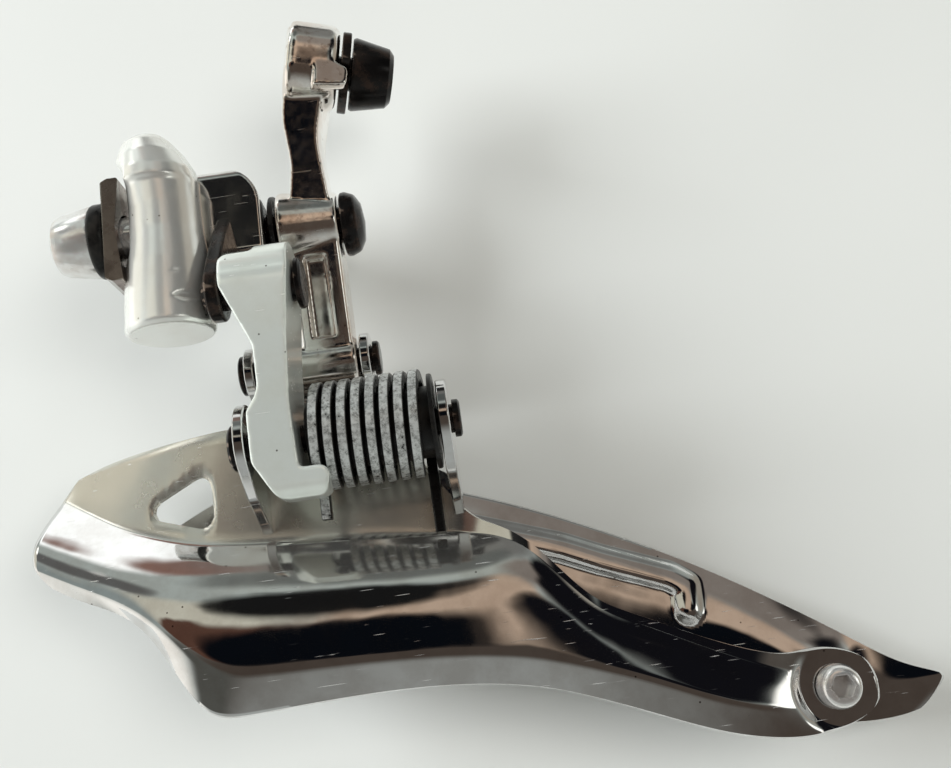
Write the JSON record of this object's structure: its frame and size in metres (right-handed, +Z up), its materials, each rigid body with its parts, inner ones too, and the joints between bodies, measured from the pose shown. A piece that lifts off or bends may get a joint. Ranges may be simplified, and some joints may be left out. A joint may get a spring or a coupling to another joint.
{
  "type": "bicycle front derailleur",
  "caption": "Braze-on front derailleur: forged body, parallel links on pins, coil return spring, and a pressed steel chain cage moved by a cable arm.",
  "frame": {"origin": "centre of the saddle pad on the mounting body, where the mounting bolt's axis crosses it", "axes": "+X to the rear of the bicycle along the pivot pins, +Y to the drive side, +Z up along the seat tube"},
  "size_m": [0.1045, 0.0308, 0.0945],
  "materials": {
    "polished_alloy": "polished",
    "pale_alloy": "satin polished",
    "chromed_steel": "mirror",
    "bolt_steel": "polished, worn",
    "dark_steel": "dark polished",
    "spring_steel": "black, worn bright outside",
    "black_oxide": "satin black",
    "black_polymer": "matt black"
  },
  "bodies": {
    "mount": {"mounting_body": "polished_alloy", "saddle_washer": "dark_steel", "mount_bolt": "bolt_steel", "outer_pivot_bolt": "black_oxide", "thrust_washer": "black_polymer", "inner_pivot_pin": "black_oxide", "limit_screw_low": "bolt_steel", "limit_screw_high": "bolt_steel"},
    "outer_arm": {"outer_link": "polished_alloy", "cable_washer": "black_oxide", "cable_bolt": "black_oxide"},
    "inner_arm": {"inner_link": "pale_alloy"},
    "cage": {"cage_inner_plate": "chromed_steel", "cage_outer_plate": "chromed_steel", "inner_cage_pin": "black_oxide", "outer_cage_pin": "black_oxide", "spring_bush": "black_polymer", "bridge_rivet_1": "bolt_steel", "bridge_rivet_2": "bolt_steel", "tail_spacer": "bolt_steel", "tail_screw": "bolt_steel", "return_spring": "spring_steel"}
  },
  "joints": [
    {"name": "inner_arm_swing", "type": "hinge", "parent": "mount", "child": "inner_arm", "pos_m": [0.015, -0.0036, -0.0103], "axis": [1, 0, 0], "range_deg": [0, 32], "stiffness_Nm_per_rad": 0.5, "springref_deg": -34.38},
    {"name": "outer_arm_swing", "type": "hinge", "parent": "mount", "child": "outer_arm", "pos_m": [0.0198, 0.0099, 0.0017], "axis": [1, 0, 0], "range_deg": [0, 32]},
    {"name": "cage_swing", "type": "hinge", "parent": "inner_arm", "child": "cage", "pos_m": [0.022, -0.0013, -0.0277], "axis": [1, 0, 0], "range_deg": [-32, 0], "deforming": ["return_spring"]}
  ],
  "couplings": [
    {"joint": "outer_arm_swing", "follows": "inner_arm_swing", "ratio": 1},
    {"joint": "cage_swing", "follows": "inner_arm_swing", "ratio": -1}
  ]
}
